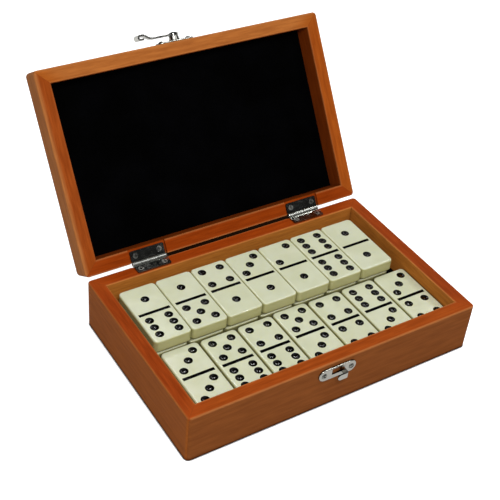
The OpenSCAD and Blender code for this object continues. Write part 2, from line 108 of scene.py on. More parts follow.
def painted(tree: Tree, colour: Value, coats: Iterable[tuple[Socket, str | Socket]]) -> Value:
    """Lays coats of paint over a colour, each as dense as its mask.

    Args:
        tree: Node tree of the material.
        colour: Colour underneath.
        coats: Mask and tone of each coat, the lowest first.

    Returns:
        The colour that shows.
    """
    for mask, tone in coats:
        over = linear(tone) if isinstance(tone, str) else tone
        # The colours of a Mix node are its inputs 6 and 7 and its output 2.
        mixed = put(tree, "Mix", {0: mask, 6: colour, 7: over}, data_type="RGBA")
        colour = mixed.outputs[2]
    return colour


def blank_material(name: str) -> tuple[bpy.types.Material, Tree]:
    """Starts a material without nodes.

    Args:
        name: Name of the finish.

    Returns:
        The material and its empty node tree.
    """
    material = bpy.data.materials.new(name)
    material.use_nodes = True
    material.node_tree.nodes.clear()
    return material, material.node_tree


def dress(nodes: Nodes, names: Iterable[str], finish: bpy.types.Material) -> None:
    """Gives CAD nodes a finish.

    Args:
        nodes: CAD nodes by name.
        names: Nodes to dress.
        finish: Material for all their slots.
    """
    for name in names:
        mesh = nodes[name].data
        if not mesh.materials:
            mesh.materials.append(finish)
        for index in range(len(mesh.materials)):
            mesh.materials[index] = finish
        LOG.info("%s is dressed in %s", name, finish.name)


class Grain(Enum):
    """Direction in which the grain or the rolling marks of a piece run."""

    ALONG_X = (1.0, 0.0, 0.0)
    ALONG_Y = (0.0, 1.0, 0.0)


@dataclass(frozen=True)
class Pattern:
    """Soft noise in a surface, drawn out along the grain where it makes streaks.

    Attributes:
        across: Width of a patch or a streak, in millimetres.
        detail: Number of finer layers.
        stretch: How many times longer a streak is than wide.
    """

    across: float
    detail: float
    stretch: float = 1.0

    def draw(self, tree: Tree, place: Socket, grain: Grain = Grain.ALONG_X) -> Socket:
        """Adds the pattern to a material.

        Args:
            tree: Node tree of the material.
            place: Coordinates in metres.
            grain: Direction of the streaks.

        Returns:
            Socket with the noise, 0 to 1.
        """
        even = 1 / (self.across * MM)
        scale = tuple(even / self.stretch if along else even for along in grain.value)
        drawn = put(tree, "Mapping", {"Vector": place, "Scale": scale}).outputs[0]
        settings = {"Vector": drawn, "Scale": 1.0, "Detail": self.detail}
        return put(tree, "TexNoise", settings).outputs[0]


@dataclass(frozen=True)
class CaseSize:
    """Sizes that the looks need from the case, in millimetres, and the opening in degrees."""

    width: float = 196.6
    depth: float = 123.6
    wall: float = 8.8
    body_top: float = 32.8
    lid_low: float = 33.0
    lid_top: float = 49.3
    pin_y: float = 62.5
    pin_z: float = 33.6
    lid_open: float = 123.0


@dataclass(frozen=True)
class Stain:
    """Darkest and lightest tone of a stain, in the grain lines and between them."""

    dark: str
    light: str


@dataclass(frozen=True)
class Zones:
    """Masks of the parts of a board with their own tones, of stain and of painted light and shade.

    Attributes:
        outer: The outer faces.
        inner: The inner faces.
        corner: The rims near a mitred corner.
        worn: The edges, lighter from stain rubbed thin and from a painted highlight.
        glue: The glue line of a mitre.
        foot: The line along the foot, painted shade.
        brow: The line along the top outer edge, painted shade.
    """

    outer: Socket
    inner: Socket
    corner: Socket
    worn: Socket
    glue: Socket
    foot: Socket
    brow: Socket


@dataclass(frozen=True)
class StainedWood:
    """Close-grained hardwood, planed, stained orange-brown and sprayed with satin lacquer.

    The stain sits deeper in the grain lines, so they show as soft darker streaks. The rims
    took most of it, the planed outer faces are browner and the inner faces differ again, and
    these tones hold painted light and shade as well. The edges read lighter, partly stain
    rubbed thin and partly a painted highlight. The dark lines round the foot and under the
    top edge of the lid, and the dark nooks round a plate, are painted shade. The lacquer is
    thin and keeps the wood nearly matt. Pores and streaks are drawn a few times coarser than
    real ones, which are too fine to show.
    """

    name: str
    grain: Grain
    bottom: float
    top: float
    tilt: float = 0.0
    # Tones of the faces, and of what lies over them.
    rim: Stain = Stain("#8E3B0E", "#9C4514")
    outside: Stain = Stain("#7A441F", "#804922")
    inside: Stain = Stain("#A56326", "#B06E2C")
    corner_tone: str = "#943F12"
    # The edge tone is partly stain rubbed thin and partly a painted highlight.
    rubbed_and_lit_edge_tone: str = "#B87644"
    # The seam tone darkens pores and glue lines, and is painted shade along the foot.
    seam_and_foot_shade_tone: str = "#6E3414"
    # Tone of the painted shade in nooks and under the top edge of the lid.
    painted_shade_tone: str = "#1E0E06"
    # How strongly each zone shows, 0 to 1.
    corner: float = 0.9
    glue: float = 0.5
    worn: float = 0.4
    foot: float = 0.0
    brow: float = 0.0
    nook_shade: float = 0.85
    pore: float = 0.22
    # How far each zone reaches from its face or seam.
    outer_mm: Span = (0.1, 0.9)
    round_mm: Span = (0.9, 1.3)
    eased_mm: Span = (1.8, 1.0)
    inner_mm: Span = (0.1, 0.6)
    corner_mm: Span = (0.0, 14.0)
    worn_mm: Span = (0.4, 1.4)
    glue_mm: Span = (0.06, 0.25)
    foot_mm: Span = (0.5, 2.2)
    brow_mm: Span = (0.9, 2.6)
    # How far the painted shade of nooks looks round, and how much open sky it sees.
    nook_reach: float = 3.0
    nook_sky: Span = (0.15, 0.65)
    # Figure: its noise, the levels that the stain and the shading span, and how deep it is.
    streaks: Pattern = Pattern(1.6, 3.0, 11.0)
    lines: Pattern = Pattern(0.45, 2.0, 22.0)
    lines_share: float = 0.5
    stain_levels: Span = (0.5, 0.95)
    shade_levels: Span = (0.55, 0.95)
    shade_depth: float = 0.08
    # Pores: their noise, where it makes a dot, their relief, and the lacquer in and between them.
    pores: Pattern = Pattern(0.45, 3.0, 14.0)
    pore_levels: Span = (0.7, 0.52)
    pore_deep: float = 0.1
    pore_relief: float = 0.15
    roughness: Span = (0.55, 0.43)

    def build(self, case: CaseSize) -> bpy.types.Material:
        """Builds the material.

        Args:
            case: Sizes of the case, for the edges and the mitres.

        Returns:
            The finished material.
        """
        material, tree = blank_material(self.name)
        shut = self._as_shut(tree, case)
        zones = self._zones(tree, shut, case)
        pores = self.pores.draw(tree, shut, self.grain)
        dots = put(tree, "MapRange", (pores, *self.pore_levels, self.pore, 0.0)).outputs[0]
        coats = (
            # The edge coat is partly stain rubbed thin and partly a painted highlight.
            (zones.worn, self.rubbed_and_lit_edge_tone),
            (dots, self.seam_and_foot_shade_tone),
            (zones.glue, self.seam_and_foot_shade_tone),
            # The coats along the foot, under the brow and in the nooks are painted shade.
            (zones.foot, self.seam_and_foot_shade_tone),
            (zones.brow, self.painted_shade_tone),
            (self._painted_nook_shade(tree), self.painted_shade_tone),
        )
        rough = put(tree, "MapRange", (pores, *NOISE, *self.roughness)).outputs[0]
        relief = {"Strength": self.pore_relief, "Distance": self.pore_deep * MM, "Height": pores}
        shader = put(
            tree,
            "BsdfPrincipled",
            {
                "Base Color": painted(tree, self._stained(tree, shut, zones), coats),
                "Roughness": rough,
                "IOR": 1.5,
                "Specular IOR Level": 0.012,
                "Normal": put(tree, "Bump", relief).outputs[0],
            },
        )
        put(tree, "OutputMaterial", [shader.outputs[0]])
        return material

    def _as_shut(self, tree: Tree, case: CaseSize) -> Socket:
        """Gives the coordinates of a point with the lid shut, so that box and lid line up.

        Args:
            tree: Node tree of the material.
            case: Sizes of the case, for the hinge pin.

        Returns:
            Socket with the coordinates, in metres.
        """
        open_place = put(tree, "TexCoord").outputs["Object"]
        turn = Matrix.Rotation(math.radians(self.tilt), 3, "X")
        pin = Vector((0.0, case.pin_y, case.pin_z)) * MM
        shift = tuple(pin - turn @ pin)
        settings = {"Vector": open_place, "Location": shift, "Rotation": tuple(turn.to_euler())}
        return put(tree, "Mapping", settings).outputs[0]

    def _zones(self, tree: Tree, place: Socket, case: CaseSize) -> Zones:
        """Masks the zones of the board by the distance from its faces and seams.

        Args:
            tree: Node tree of the material.
            place: Coordinates with the lid shut, in metres.
            case: Sizes of the case.

        Returns:
            The masks, each as strong as its zone.
        """
        axes = put(tree, "SeparateXYZ", [place]).outputs
        depths: list[Socket] = []
        for axis, centre, half in (
            (axes[0], 0.0, case.width / 2),
            (axes[1], 0.0, case.depth / 2),
            (axes[2], (self.top + self.bottom) / 2, (self.top - self.bottom) / 2),
        ):
            off = put(tree, "Math", (axis, centre * MM), operation="SUBTRACT").outputs[0]
            away = put(tree, "Math", [off], operation="ABSOLUTE").outputs[0]
            deep = put(tree, "Math", (half * MM, away), operation="SUBTRACT").outputs[0]
            depths.append(deep)
        side, front, flat = depths
        outer = put(tree, "Math", (side, front), operation="MINIMUM").outputs[0]
        wall = case.wall * MM
        inner = put(tree, "Math", (wall, outer), operation="SUBTRACT").outputs[0]
        inner_size = put(tree, "Math", [inner], operation="ABSOLUTE").outputs[0]
        near = put(tree, "Math", (outer, inner_size), operation="MINIMUM").outputs[0]
        edge = put(tree, "Math", (near, flat), operation="ADD").outputs[0]
        skew = put(tree, "Math", (side, front), operation="SUBTRACT").outputs[0]
        mitre = put(tree, "Math", [skew], operation="ABSOLUTE").outputs[0]
        top = self.top * MM
        under = put(tree, "Math", (top, axes[2]), operation="SUBTRACT").outputs[0]
        top_edge = put(tree, "Math", (outer, under), operation="ADD").outputs[0]
        masks: dict[str, Socket] = {}
        for zone, distance, (full, gone), strength in (
            ("outer", outer, self.outer_mm, 1.0),
            ("inner", inner, self.inner_mm, 1.0),
            ("corner", mitre, self.corner_mm, self.corner),
            ("worn", edge, self.worn_mm, self.worn),
            ("glue", mitre, self.glue_mm, self.glue),
            ("foot", axes[2], self.foot_mm, self.foot),
            ("brow", top_edge, self.brow_mm, self.brow),
        ):
            levels = (distance, full * MM, gone * MM, strength, 0.0)
            masks[zone] = put(tree, "MapRange", levels, **SMOOTH).outputs[0]
        # The rounded upright corners lie deeper than the faces and have their tone as well.
        limits = []
        for distance, (full, gone) in ((outer, self.round_mm), (flat, self.eased_mm)):
            levels = (distance, full * MM, gone * MM, 1.0, 0.0)
            limits.append(put(tree, "MapRange", levels).outputs[0])
        upright = put(tree, "Math", limits, operation="MULTIPLY").outputs[0]
        faces = (masks["outer"], upright)
        masks["outer"] = put(tree, "Math", faces, operation="MAXIMUM").outputs[0]
        return Zones(**masks)

    def _stained(self, tree: Tree, place: Socket, zones: Zones) -> Socket:
        """Stains the rims, the outer faces and the inner faces, each with the same grain.

        Args:
            tree: Node tree of the material.
            place: Coordinates with the lid shut, in metres.
            zones: Masks of the zones.

        Returns:
            Socket with the stained colour.
        """
        streaks = self.streaks.draw(tree, place, self.grain)
        lines = self.lines.draw(tree, place, self.grain)
        both = (lines, self.lines_share, streaks)
        figure = put(tree, "Math", both, operation="MULTIPLY_ADD").outputs[0]
        tones = []
        for stain in (self.rim, self.outside, self.inside):
            stops = list(zip(self.stain_levels, (stain.dark, stain.light)))
            tones.append(put(tree, "ValToRGB", [figure], stops=stops).outputs[0])
        rim, outside, inside = tones
        coats = ((zones.corner, self.corner_tone), (zones.outer, outside), (zones.inner, inside))
        toned = painted(tree, rim, coats)
        shades = (1 - self.shade_depth, 1 + self.shade_depth)
        shade = put(tree, "MapRange", (figure, *self.shade_levels, *shades)).outputs[0]
        shaded = put(tree, "VectorMath", {"Vector": toned, "Scale": shade}, operation="SCALE")
        return shaded.outputs[0]

    def _painted_nook_shade(self, tree: Tree) -> Socket:
        """Masks narrow nooks, such as the wood round a plate, for their painted shade.

        Args:
            tree: Node tree of the material.

        Returns:
            Socket that is highest in the narrowest nooks.
        """
        reach = {"Distance": self.nook_reach * MM}
        sky = put(tree, "AmbientOcclusion", reach, samples=6).outputs["AO"]
        return put(tree, "MapRange", (sky, *self.nook_sky, self.nook_shade, 0.0), **SMOOTH).outputs[0]


@dataclass(frozen=True)
class RawBoard:
    """Thin plywood, sanded and left bare: pale, dry and slightly fibrous."""

    name: str = "bare_plywood"
    dark: str = "#A98258"
    light: str = "#C9A67A"
    fibres: Pattern = Pattern(1.6, 4.0, 18.0)
    fibre_levels: Span = (0.35, 0.65)
    fibre_deep: float = 0.15
    fibre_relief: float = 0.4
    roughness: float = 0.75

    def build(self) -> bpy.types.Material:
        """Builds the material.

        Returns:
            The finished material.
        """
        material, tree = blank_material(self.name)
        place = put(tree, "TexCoord").outputs["Object"]
        fibres = self.fibres.draw(tree, place)
        stops = list(zip(self.fibre_levels, (self.dark, self.light)))
        relief = {"Strength": self.fibre_relief, "Distance": self.fibre_deep * MM, "Height": fibres}
        shader = put(
            tree,
            "BsdfPrincipled",
            {
                "Base Color": put(tree, "ValToRGB", [fibres], stops=stops).outputs[0],
                "Roughness": self.roughness,
                "Normal": put(tree, "Bump", relief).outputs[0],
            },
        )
        put(tree, "OutputMaterial", [shader.outputs[0]])
        return material


@dataclass(frozen=True)
class Velvet:
    """Black cotton velvet, woven, cut and glued to card.

    The upright pile swallows light, and only its rubbed patches and the grazing angles show
    a little grey. The pile is drawn a few times coarser than it is, or it wouldn't show.
    """

    name: str
    base: str = "#010101"
    rubbed: str = "#030304"
    nap: Pattern = Pattern(26.0, 3.0)
    pile: Pattern = Pattern(0.9, 2.0)
    pile_share: float = 0.5
    rubbed_levels: Span = (0.6, 0.95)
    pile_deep: float = 0.3
    pile_relief: float = 0.6
    roughness: float = 0.95

    def build(self) -> bpy.types.Material:
        """Builds the material.

        Returns:
            The finished material.
        """
        material, tree = blank_material(self.name)
        place = put(tree, "TexCoord").outputs["Object"]
        pile = self.pile.draw(tree, place)
        layers = (pile, self.pile_share, self.nap.draw(tree, place))
        both = put(tree, "Math", layers, operation="MULTIPLY_ADD").outputs[0]
        stops = list(zip(self.rubbed_levels, (self.base, self.rubbed)))
        relief = {"Strength": self.pile_relief, "Distance": self.pile_deep * MM, "Height": pile}
        shader = put(
            tree,
            "BsdfPrincipled",
            {
                "Base Color": put(tree, "ValToRGB", [both], stops=stops).outputs[0],
                "Roughness": self.roughness,
                "Specular IOR Level": 0.01,
                "Sheen Weight": 0.002,
                "Sheen Roughness": 0.5,
                "Normal": put(tree, "Bump", relief).outputs[0],
            },
        )
        put(tree, "OutputMaterial", [shader.outputs[0]])
        return material


@dataclass(frozen=True)
class PlatedSteel:
    """Steel strip, stamped and plated thin and bright.

    The corners and the rims of the holes carry painted shade where little open sky reaches
    them, and the sheared edges carry painted shade and dark reflections, so each edge and
    screw stands out. The marks of the rolling mill are drawn a few times coarser than real
    ones, which are too fine to show.
    """

    name: str
    colour: str
    roughness: float
    # Painted shade in the corners: its tone, how far a corner looks round, and how much open sky it
    # sees.
    metal_shade: str = "#24231F"
    metal_shade_reach: float = 1.6
    metal_shade_sky: Span = (0.45, 0.95)
    # Painted shade on sheared edges: strength and reach, and how like the bare and rounded face
    # are.
    edge: float = 0.0
    edge_reach: float = 0.35
    edge_likeness: Span = (0.93, 0.999)
    # Share of the roughness where the plate is least and most worn.
    wear: Pattern = Pattern(4.0, 2.0)
    wear_share: Span = (0.7, 1.4)
    marks: Pattern = Pattern(0.5, 3.0, 12.0)
    mark_deep: float = 0.02
    mark_relief: float = 0.01

    def build(self) -> bpy.types.Material:
        """Builds the material.

        Returns:
            The finished material.
        """
        material, tree = blank_material(self.name)
        place = put(tree, "TexCoord").outputs["Object"]
        smooth, worn = (self.roughness * share for share in self.wear_share)
        wear = (self.wear.draw(tree, place), *NOISE, smooth, worn)
        reach = {"Distance": self.metal_shade_reach * MM}
        sky = put(tree, "AmbientOcclusion", reach, samples=8).outputs["AO"]
        unshaded = put(tree, "MapRange", (sky, *self.metal_shade_sky)).outputs[0]
        # The plate is bright where open to the sky; corners and edges carry painted shade.
        coats = ((unshaded, self.colour), (self._shaded_edges(tree), self.metal_shade))
        marks = self.marks.draw(tree, place)
        relief = {"Strength": self.mark_relief, "Distance": self.mark_deep * MM, "Height": marks}
        shader = put(
            tree,
            "BsdfPrincipled",
            {
                "Base Color": painted(tree, linear(self.metal_shade), coats),
                "Metallic": 1.0,
                "Roughness": put(tree, "MapRange", wear).outputs[0],
                "Normal": put(tree, "Bump", relief).outputs[0],
            },
        )
        put(tree, "OutputMaterial", [shader.outputs[0]])
        return material

    def _shaded_edges(self, tree: Tree) -> Socket:
        """Masks sheared edges for painted shade, where a rounded-off surface would face another
        way.

        Args:
            tree: Node tree of the material.

        Returns:
            Socket that is highest on the edges.
        """
        reach = {"Radius": self.edge_reach * MM}
        rounded = put(tree, "Bevel", reach, samples=6).outputs[0]
        facing = put(tree, "NewGeometry").outputs["Normal"]
        both = (rounded, facing)
        likeness = put(tree, "VectorMath", both, operation="DOT_PRODUCT").outputs[1]
        return put(tree, "MapRange", (likeness, *self.edge_likeness, self.edge, 0.0)).outputs[0]


@dataclass(frozen=True)
class IvoryTile:
    """Urea plastic, pressed, tumbled smooth and wax-polished, its hollows filled with paint.

    The polished face reads pale and cool, and the sides are painted a darker, yellower cream
    as painted shade, as are the nooks between tiles. A little light passes into the plastic
    and softens its shadows. The black paint dried to a glossy drop over the low point that
    the press left in each pip, which gives the pip its small glints.
    """

    name: str = "ivory_plastic"
    pale: str = "#C6C9AF"
    warm: str = "#BFC2A4"
    # Darker cream painted on the sides as painted shade.
    side_shade: str = "#A4A170"
    # Tone of the painted shade in the nooks between tiles.
    gap_shade_tone: str = "#837F4A"
    ink: str = "#020202"
    # Unevenness of the cream and of the wax, and how far a face turns up before its painted shade
    # ends.
    cloud: Pattern = Pattern(14.0, 2.0)
    cloud_levels: Span = (0.35, 0.65)
    wax: Pattern = Pattern(3.0, 2.0)
    wax_deep: float = 0.05
    wax_relief: float = 0.08
    side_shade_facing: Span = (0.3, 0.95)
    # Painted shade between tiles: how far the nooks look round, the open sky they see, and its
    # strength.
    nook_reach: float = 4.0
    nook_sky: Span = (0.25, 0.8)
    nook_shade: float = 0.55
    # Polish of the plastic, of the paint and of the point.
    roughness: Span = (0.14, 0.24)
    ink_roughness: float = 0.1
    gloss: float = 0.5
    ink_gloss: float = 0.15
    point_gloss: float = 1.0
    # Light that passes into the plastic, red furthest.
    glow: float = 0.3
    glow_reach: float = 1.5
    glow_colour: Place = (1.0, 0.85, 0.4)
    # Sizes of a tile, its pips and the points in them. The rim is the rounding of its edges.
    width: float = 23.9
    length: float = 47.8
    height: float = 8.0
    rim: float = 1.5
    pip_pitch: float = 6.2
    point_radius: float = 1.3
    point_high: float = 0.3
    sunk_mm: Span = (0.03, 0.01)

    def build(self) -> bpy.types.Material:
        """Builds the material.

        Returns:
            The finished material.
        """
        material, tree = blank_material(self.name)
        coords = put(tree, "TexCoord").outputs
        ink = self._sunk_mask(tree, coords["Generated"])
        point = self._points(tree, coords["Generated"], ink)
        wax = self.wax.draw(tree, coords["Object"])
        waxed = put(tree, "MapRange", (wax, *NOISE, *self.roughness)).outputs[0]
        rough = put(tree, "Mix", {0: ink, 2: waxed, 3: self.ink_roughness}).outputs[0]
        dull = put(tree, "MapRange", (ink, 0.0, 1.0, self.gloss, self.ink_gloss)).outputs[0]
        both = (point, self.point_gloss, dull)
        gloss = put(tree, "Math", both, operation="MULTIPLY_ADD").outputs[0]
        ripple = {"Strength": self.wax_relief, "Distance": self.wax_deep * MM, "Height": wax}
        relief = {
            "Strength": 1.0,
            "Distance": self.point_high * MM,
            "Height": point,
            "Normal": put(tree, "Bump", ripple).outputs[0],
        }
        shader = put(
            tree,
            "BsdfPrincipled",
            {
                "Base Color": self._coloured(tree, coords, ink),
                "Roughness": rough,
                "IOR": 1.5,
                "Specular IOR Level": gloss,
                "Coat Weight": point,
                "Coat Roughness": 0.05,
                "Coat IOR": 1.6,
                "Subsurface Weight": self.glow,
                "Subsurface Radius": self.glow_colour,
                "Subsurface Scale": self.glow_reach * MM,
                "Normal": put(tree, "Bump", relief).outputs[0],
            },
        )
        put(tree, "OutputMaterial", [shader.outputs[0]])
        return material

    def _coloured(self, tree: Tree, coords: bpy.types.NodeOutputs, ink: Socket) -> Value:
        """Colours the face, the paint in the hollows, and painted shade on the sides and between
        tiles.

        Args:
            tree: Node tree of the material.
            coords: Outputs of the texture coordinates.
            ink: Mask of the pips and the line.

        Returns:
            The colour that shows.
        """
        cloud = self.cloud.draw(tree, coords["Object"])
        stops = list(zip(self.cloud_levels, (self.warm, self.pale)))
        face = put(tree, "ValToRGB", [cloud], stops=stops).outputs[0]
        upward = put(tree, "SeparateXYZ", [coords["Normal"]]).outputs[2]
        side_shade = put(tree, "MapRange", (upward, *self.side_shade_facing, 1.0, 0.0)).outputs[0]
        reach = {"Distance": self.nook_reach * MM}
        sky = put(tree, "AmbientOcclusion", reach, samples=6).outputs["AO"]
        nook_shade = put(tree, "MapRange", (sky, *self.nook_sky, self.nook_shade, 0.0), **SMOOTH).outputs[0]
        return painted(tree, face, ((side_shade, self.side_shade), (nook_shade, self.gap_shade_tone), (ink, self.ink)))

    def _points(self, tree: Tree, place: Socket, ink: Socket) -> Socket:
        """Gives the low point that the press left in the middle of each pip.

        Args:
            tree: Node tree of the material.
            place: Coordinates that run from 0 to 1 over the tile's own box.
            ink: Mask of the pips and the line.

        Returns:
            Socket with the height of the point, 0 to 1.
        """
        half = self.pip_pitch / 2
        at = place
        # Both ends of the tile have the same grid of pips, centred on a quarter of its length.
        for operation, numbers in (
            ("MULTIPLY", [(self.width, self.length, 0.0)]),
            ("SUBTRACT", [(self.width / 2, self.length / 2, 0.0)]),
            ("ABSOLUTE", []),
            ("SUBTRACT", [(0.0, self.length / 4, 0.0)]),
            ("WRAP", [(half, half, 1.0), (-half, -half, -1.0)]),
        ):
            at = put(tree, "VectorMath", (at, *numbers), operation=operation).outputs[0]
        away = put(tree, "VectorMath", [at], operation="LENGTH").outputs[1]
        limits = (away, 0.0, self.point_radius, 1.0, 0.0)
        point = put(tree, "MapRange", limits, **SMOOTH).outputs[0]
        return put(tree, "Math", (point, ink), operation="MULTIPLY").outputs[0]

    def _sunk_mask(self, tree: Tree, place: Socket) -> Socket:
        """Masks what lies below the top face, away from the rounded edges.

        Args:
            tree: Node tree of the material.
            place: Coordinates that run from 0 to 1 over the tile's own box.

        Returns:
            Socket that is 1 in a pip or in the centre line.
        """
        axes = put(tree, "SeparateXYZ", [place]).outputs
        full, gone = (1 - depth / self.height for depth in self.sunk_mm)
        mask = put(tree, "MapRange", (axes[2], full, gone, 1.0, 0.0)).outputs[0]
        for axis, size in ((axes[0], self.width), (axes[1], self.length)):
            off = put(tree, "Math", (axis, 0.5), operation="SUBTRACT").outputs[0]
            away = put(tree, "Math", [off], operation="ABSOLUTE").outputs[0]
            limit = (away, 0.5 - self.rim / size)
            inside = put(tree, "Math", limit, operation="LESS_THAN").outputs[0]
            mask = put(tree, "Math", (mask, inside), operation="MULTIPLY").outputs[0]
        above = put(tree, "Math", (axes[2], 0.5), operation="GREATER_THAN").outputs[0]
        return put(tree, "Math", (mask, above), operation="MULTIPLY").outputs[0]


def dress_boards(nodes: Nodes, size: CaseSize, boards: dict[str, StainedWood]) -> None:
    """Gives each wooden board its own stain.

    Args:
        nodes: CAD nodes by name.
        size: Sizes of the case.
        boards: Wood of each board, by the name of its node.
    """
    for name, wood in boards.items():
        dress(nodes, (name,), replace(wood, name=f"stained_{name}").build(size))


@dataclass
class Case:
    """Four mitred walls with a base board, a floor insert and its velvet card."""

    size: CaseSize = field(default_factory=CaseSize)

    def dress(self, nodes: Nodes) -> None:
        """Dresses the body of the box.

        Args:
            nodes: CAD nodes by name.
        """
        # The line along the foot is painted shade.
        long = StainedWood("wall", Grain.ALONG_X, bottom=0.0, top=self.size.body_top, foot=0.8)
        short = replace(long, grain=Grain.ALONG_Y)
        # Each board's tones hold painted light and shade as well as stain, set to how brightly it
        # is lit.
        front_rim, back_rim = Stain("#87390D", "#944313"), Stain("#843107", "#8F3909")
        left_rim, right_rim = Stain("#7E310B", "#8C3910"), Stain("#7F320E", "#8C3A13")
        left_face = Stain("#8E4D1D", "#945221")
        boards = {
            # The front wall's nooks reach further, for painted shade round the catch plate.
            "wall_front": replace(long, rim=front_rim, nook_reach=5.0, nook_sky=(0.15, 0.9)),
            "wall_back": replace(long, rim=back_rim, worn=0.3),
            "wall_left": replace(short, rim=left_rim, outside=left_face, worn=0.15),
            "wall_right": replace(short, rim=right_rim, worn=0.3),
        }
        dress_boards(nodes, self.size, boards)
        dress(nodes, ("base_board", "floor_insert"), RawBoard().build())
        dress(nodes, ("floor_lining",), Velvet("black_velvet_floor").build())


@dataclass
class Lid:
    """Four mitred rails round a thin panel, lined with velvet."""

    size: CaseSize = field(default_factory=CaseSize)

    def dress(self, nodes: Nodes) -> None:
        """Dresses the lid.

        Args:
            nodes: CAD nodes by name.
        """
        long = StainedWood(
            "rail",
            Grain.ALONG_X,
            bottom=self.size.lid_low,
            top=self.size.lid_top,
            tilt=self.size.lid_open,
            outside=Stain("#9F6031", "#A76938"),
            # The dark inside faces of the rails are painted shade.
            inside=Stain("#642908", "#702F0A"),
            # The brow line under the top edge is painted shade.
            brow=0.8,
        )
        short = replace(long, grain=Grain.ALONG_Y)
        # Rail tones hold painted light and shade as well as stain: the front rail lighter, the back
        # darker.
        front_rim, back_rim = Stain("#9C5826", "#A8642E"), Stain("#7E2F06", "#8A3709")
        left_rim, right_rim = Stain("#863B11", "#924517"), Stain("#904211", "#9D4D16")
        wide: Span = (0.1, 1.6)
        widest: Span = (0.1, 3.2)
        # Each corner tone lies between the painted tones of the two rails that meet there.
        front = replace(long, rim=front_rim, corner_tone="#9C5018", worn=0.2, outer_mm=wide)
        back = replace(long, rim=back_rim, corner_tone="#8A380C", worn=0.35)
        left = replace(short, rim=left_rim, corner_tone="#8C3F11", worn=0.1, outer_mm=widest)
        right = replace(short, rim=right_rim, corner_tone="#984A15", worn=0.2, outer_mm=wide)
        panel = replace(
            long,
            rim=Stain("#8F4216", "#9C4D1C"),
            inside=Stain("#8A4A1F", "#955226"),
            corner_tone="#944818",
            worn=0.0,
            brow=0.0,
        )
        boards = {
            "lid_rail_front": front,
            "lid_rail_back": back,
            "lid_rail_left": left,
            "lid_rail_right": right,
            "lid_panel": panel,
        }
        dress_boards(nodes, self.size, boards)
        dress(nodes, ("lid_lining",), Velvet("black_velvet_lid").build())


@dataclass
class Hardware:
    """Two butt hinges and the swing-hook latch, with their screws."""

    sides: tuple[str, ...] = ("left", "right")
    hinge_parts: tuple[str, ...] = ("body_leaf", "lid_leaf", "pin")
    latch_parts: tuple[str, ...] = ("latch_plate", "latch_hook")
    hinge_screws: tuple[str, ...] = ("body_hinge_screws", "lid_hinge_screws")
    latch_screws: tuple[str, ...] = ("catch_screws", "latch_screws")

    def dress(self, nodes: Nodes) -> None:
        """Dresses the metal parts.

        Args:
            nodes: CAD nodes by name.
        """
        hinges = [f"hinge_{side}_{part}" for side in self.sides for part in self.hinge_parts]
        hinge = PlatedSteel("zinc_plated_steel", "#BCBEB8", 0.13)
        hinge_screw = PlatedSteel("nickel_plated_screws", "#9E9E98", 0.28)
        # The catch plate's painted corner shade reaches further.
        catch = PlatedSteel("nickel_plated_steel", "#A3A29A", 0.12, metal_shade_reach=2.6, edge=0.5)
        latch = PlatedSteel("polished_nickel_plate", "#C4C3BB", 0.12, edge=0.6, edge_reach=0.4)
        # The rivet is given a darker steel than the plates.
        rivet = PlatedSteel("dark_steel_rivet", "#70746A", 0.25, edge=0.6)
        # The latch screws are painted darker, as painted shade.
        latch_screw = PlatedSteel("shaded_nickel_screws", "#7E7F79", 0.2, edge=0.8, edge_reach=0.3)
        for finish, names in (
            (hinge, hinges),
            (hinge_screw, self.hinge_screws),
            (catch, ("catch_plate",)),
            (latch, self.latch_parts),
            (rivet, ("latch_rivet",)),
            (latch_screw, self.latch_screws),
        ):
            dress(nodes, names, finish.build())


@dataclass
class Tiles:
    """The dominoes in the box."""

    open_rows: tuple[str, ...] = ("tile_top", "tile_front")
    low_row: str = "tile_low"
    per_row: int = 7

    def dress(self, nodes: Nodes) -> None:
        """Dresses the tiles, those in the hidden low row with deeper painted shade in the nooks.

        Args:
            nodes: CAD nodes by name.
        """
        numbers = range(1, self.per_row + 1)
        # The low row gets deeper painted shade, as it lies under the top row.
        low = IvoryTile("ivory_plastic_low", gap_shade_tone="#5E5B38", nook_shade=1.0, nook_sky=(0.25, 1.0))
        for finish, rows in ((IvoryTile(), self.open_rows), (low, (self.low_row,))):
            dress(nodes, [f"{row}_{number}" for row in rows for number in numbers], finish.build())


@dataclass(frozen=True)
class Softbox:
    """Square lamp that faces the middle of the object: place and size in mm, power in watts."""

    name: str
    place: Place
    size: float
    watts: float

    def hang(self, aim: Place) -> None:
        """Adds the lamp to the scene.

        Args:
            aim: Point that the lamp faces, in millimetres.
        """
        data = bpy.data.lights.new(self.name, "AREA")
        data.size = self.size * MM
        data.energy = self.watts
        lamp = bpy.data.objects.new(self.name, data)
        lamp.location = Vector(self.place) * MM
        way = Vector(aim) * MM - lamp.location
        lamp.rotation_euler = way.to_track_quat("-Z", "Y").to_euler()
        bpy.context.scene.collection.objects.link(lamp)
        LOG.info("%s set", self.name)


